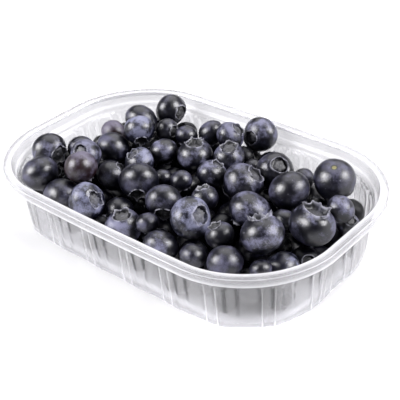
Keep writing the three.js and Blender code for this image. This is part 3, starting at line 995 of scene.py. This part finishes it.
# ---- materials ----
class Nodes:
    """A small helper for building one material's nodes. A value can be a socket, a number or a
    colour."""

    def __init__(self, name):
        self.material = bpy.data.materials.new(name)
        self.material.use_nodes = True
        self.tree = self.material.node_tree
        self.tree.nodes.clear()

    def add(self, kind, **settings):
        node = self.tree.nodes.new(kind)
        for key, value in settings.items():
            setattr(node, key, value)
        return node

    def feed(self, value, socket):
        if isinstance(value, bpy.types.NodeSocket):
            self.tree.links.new(value, socket)
        else:
            socket.default_value = (*value, 1) if isinstance(value, tuple) else value

    def attribute(self, name):
        node = self.add("ShaderNodeAttribute", attribute_name=name)
        return node.outputs["Vector"] if name == "own" else node.outputs["Fac"]

    def place(self):
        return self.add("ShaderNodeTexCoord").outputs["Object"]

    def noise(self, where, scale, detail, roughness=NOISE_ROUGHNESS):
        node = self.add("ShaderNodeTexNoise")
        names = ("Vector", "Scale", "Detail", "Roughness")
        for name, value in zip(names, (where, scale, detail, roughness)):
            self.feed(value, node.inputs[name])
        return node.outputs["Fac"]

    def math(self, operation, *values):
        node = self.add("ShaderNodeMath", operation=operation)
        for socket, value in zip(node.inputs, values):
            self.feed(value, socket)
        return node.outputs[0]

    def range(self, value, low, high, to_low=0.0, to_high=1.0):
        node = self.add("ShaderNodeMapRange", clamp=True)
        for socket, given in zip(node.inputs, (value, low, high, to_low, to_high)):
            self.feed(given, socket)
        return node.outputs[0]

    def mix(self, share, first, second):
        """Mixes two colours. A Mix node has sockets for each kind of data: 6 and 7 are colours."""
        node = self.add("ShaderNodeMix", data_type="RGBA", clamp_factor=True)
        for socket, value in ((0, share), (6, first), (7, second)):
            self.feed(value, node.inputs[socket])
        return node.outputs[2]

    def shader(self, **inputs):
        """A principled shader; inputs are named as its sockets are, with _ for a space."""
        node = self.add("ShaderNodeBsdfPrincipled")
        for name, value in inputs.items():
            self.feed(value, node.inputs[name.replace("_", " ")])
        return node.outputs[0]

    def finish(self, surface):
        self.feed(surface, self.add("ShaderNodeOutputMaterial").inputs["Surface"])
        return self.material


def bloom_share(nodes, at, cover, patchiness):
    """How bloomed the skin is at a place, from 0 to 1."""
    level = cover
    for value, weight in (
        (nodes.noise(at.own, *PATCHES), patchiness),
        (at.mottle, MOTTLE_WEIGHT),
        (at.specks, SPECK_WEIGHT),
        (at.tone, TONE_AND_SHADE_WEIGHT),
    ):
        level = nodes.math("MULTIPLY_ADD", nodes.math("SUBTRACT", value, 0.5), weight, level)
    # bloom thins where worn against the next berry, and as painted shade there and on the underside
    level = nodes.math("MULTIPLY_ADD", at.rubbed, WORN_AND_SHADED_WEIGHT, level)
    return nodes.range(level, 0.0, 1.0)


def crown_colour(nodes, at, colour):
    """The crown's papery disc, its pale ragged frill, and the dark hollow between them, whose
    near-black is partly the crown's own and partly painted shade.
    """
    pale = nodes.mix(at.tone, PAPER_DARK, PAPER_PALE)
    paper = nodes.mix(nodes.range(at.mottle, *PAPER_RANGE), PAPER_CRACKS, pale)
    colour = nodes.mix(nodes.math("MULTIPLY", at.disc, PAPER_SHOWN), colour, paper)
    edge = nodes.mix(nodes.range(at.mottle, *FRILL_RANGE), FRILL_DARK, FRILL_PALE)
    colour = nodes.mix(nodes.math("MULTIPLY", at.frill, FRILL_SHOWN), colour, edge)
    hollow = nodes.math("MULTIPLY", at.groove, nodes.range(at.mottle, *HOLLOW_RANGE))
    return nodes.mix(hollow, colour, HOLLOW_DARK_AND_SHADE)


def scar_colour(nodes, at, colour):
    """The dark dimple that the stalk leaves, with its dry middle."""
    colour = nodes.mix(nodes.range(at.scar, *SCAR_RANGE), colour, SCAR_COLOUR)
    dry = nodes.mix(nodes.range(at.tone, *DRY_GREEN_TONES), DRY_BROWN, DRY_GREEN)
    return nodes.mix(nodes.range(at.scar, *DRY_RANGE), colour, dry)


def bump(nodes, at):
    node = nodes.add("ShaderNodeBump")
    nodes.feed(BUMP_STRENGTH, node.inputs["Strength"])
    nodes.feed(BUMP_HEIGHT, node.inputs["Distance"])
    nodes.feed(nodes.math("ADD", at.mottle, at.specks), node.inputs["Height"])
    return node.outputs[0]


def berry_skin(name, skin, bloom, cover, patchiness, gloss):
    """Dark skin under a waxy bloom: cover is how much of it is bloomed, patchiness how uneven."""
    nodes = Nodes("skin_" + name)
    at = SimpleNamespace(**{key: nodes.attribute(key) for key in BERRY_ATTRIBUTES})
    at.mottle = nodes.noise(at.own, *MOTTLE)
    at.specks = nodes.noise(at.own, *SPECKS)
    bloomed = bloom_share(nodes, at, cover, patchiness)
    fleck = nodes.range(nodes.noise(at.own, *FLECKS), *FLECK_RANGE)
    colour = nodes.mix(fleck, nodes.mix(bloomed, skin, bloom), FLECK_COLOUR)
    colour = scar_colour(nodes, at, crown_colour(nodes, at, colour))
    crown = nodes.math("MAXIMUM", nodes.math("MAXIMUM", at.disc, at.frill), at.groove)
    rough = nodes.range(bloomed, 0, 1, *BERRY_ROUGHNESS)
    surface = nodes.shader(
        Base_Color=colour,
        Roughness=nodes.math("MULTIPLY_ADD", crown, CROWN_ROUGHER, rough),
        Specular_IOR_Level=gloss,
        IOR=BERRY_IOR,
        Normal=bump(nodes, at),
    )
    return nodes.finish(surface)


def heap_shadow_paint():
    nodes = Nodes("heap_shadow")
    surface = nodes.shader(
        Base_Color=nodes.mix(nodes.noise(nodes.place(), *CORE_NOISE), *CORE_SHADE_COLOURS),
        Roughness=CORE_ROUGHNESS,
        Specular_IOR_Level=CORE_GLOSS,
    )
    return nodes.finish(surface)


def clear_plastic():
    """Thin polypropylene: glossy and see-through with a milky haze, clearest where its steps
    have stretched it. Lamps shine through it. Its edge mask paints white highlight lines and a
    whiter foot."""
    nodes = Nodes("clear_plastic")
    cloud = nodes.noise(nodes.place(), *CLOUDS)
    step = nodes.attribute("step")
    edge = nodes.attribute("edge")
    haze = nodes.range(cloud, *CLOUD_RANGE)
    haze = nodes.math("MULTIPLY", haze, nodes.range(step, 0, 1, 1, STEP_HAZE))
    # the edge mask paints the plastic whiter and less clear: highlight lines, and the foot
    haze = nodes.math("MAXIMUM", haze, nodes.math("MULTIPLY", edge, EDGE_OPACITY))
    surface = nodes.shader(
        Base_Color=nodes.mix(edge, nodes.mix(cloud, *CLOUD_TINTS), EDGE_TINT),
        Transmission_Weight=nodes.math("SUBTRACT", 1, haze),
        Roughness=nodes.range(step, 0, 1, *PLASTIC_ROUGHNESS),
        IOR=PLASTIC_IOR,
    )
    shadow = nodes.add("ShaderNodeBsdfTransparent")
    nodes.feed(SHADOW_TINT, shadow.inputs["Color"])
    both = nodes.add("ShaderNodeMixShader")
    is_shadow = nodes.add("ShaderNodeLightPath").outputs["Is Shadow Ray"]
    for socket, value in zip(both.inputs, (is_shadow, surface, shadow.outputs[0])):
        nodes.feed(value, socket)
    return nodes.finish(both.outputs[0])


def floor_paint():
    nodes = Nodes("floor_paint")
    surface = nodes.shader(
        Base_Color=FLOOR_COLOUR, Roughness=FLOOR_ROUGHNESS, Specular_IOR_Level=FLOOR_GLOSS
    )
    return nodes.finish(surface)


# ---- camera, light and floor ----
def add_camera():
    data = bpy.data.cameras.new("camera")
    data.lens = LENS_MM
    data.sensor_width = SENSOR_MM
    camera = bpy.data.objects.new("camera", data)
    camera.matrix_world = Matrix.Translation(Vector(CAMERA_PLACE) * MM) @ view_axes().to_4x4()
    bpy.context.scene.collection.objects.link(camera)
    bpy.context.scene.camera = camera


def add_lamps():
    """Far-off soft lamps, which light the floor evenly."""
    for name, (way, strength, width) in SOFTBOXES.items():
        data = bpy.data.lights.new(name, "SUN")
        data.energy = strength
        data.angle = width
        data.color = LAMP_COLOUR
        toward = (view_axes() @ Vector(way)).normalized()
        light = bpy.data.objects.new(name, data)
        light.matrix_world = toward.to_track_quat("Z", "Y").to_matrix().to_4x4()
        bpy.context.scene.collection.objects.link(light)


def add_room():
    """A white room that is bright as a backdrop and dim as a light."""
    world = bpy.data.worlds.new("studio")
    world.use_nodes = True
    tree = world.node_tree
    background = tree.nodes["Background"]
    background.inputs["Color"].default_value = (*ROOM_COLOUR, 1)
    seen = tree.nodes.new("ShaderNodeLightPath").outputs["Is Camera Ray"]
    strength = tree.nodes.new("ShaderNodeMapRange")
    strength.inputs["To Min"].default_value = ROOM_LIGHT
    strength.inputs["To Max"].default_value = BACKDROP
    tree.links.new(seen, strength.inputs["Value"])
    tree.links.new(strength.outputs[0], background.inputs["Strength"])
    bpy.context.scene.world = world
    bpy.context.scene.view_settings.view_transform = "Standard"


def add_floor():
    corners = [(x * FLOOR_HALF, y * FLOOR_HALF, 0) for x, y in ((-1, -1), (1, -1), (1, 1), (-1, 1))]
    floor = new_mesh_object("floor", corners, [(0, 1, 2, 3)], floor_paint())


# ---- the scene ----
add_camera()
add_lamps()
add_room()
add_floor()
build_tray(clear_plastic())
heap = heap_of_berries()
build_core(heap, heap_shadow_paint())
heap += deep_berries(heap)
build_berries(heap, {name: berry_skin(name, *look) for name, look in SKINS.items()})

bpy.context.view_layer.update()
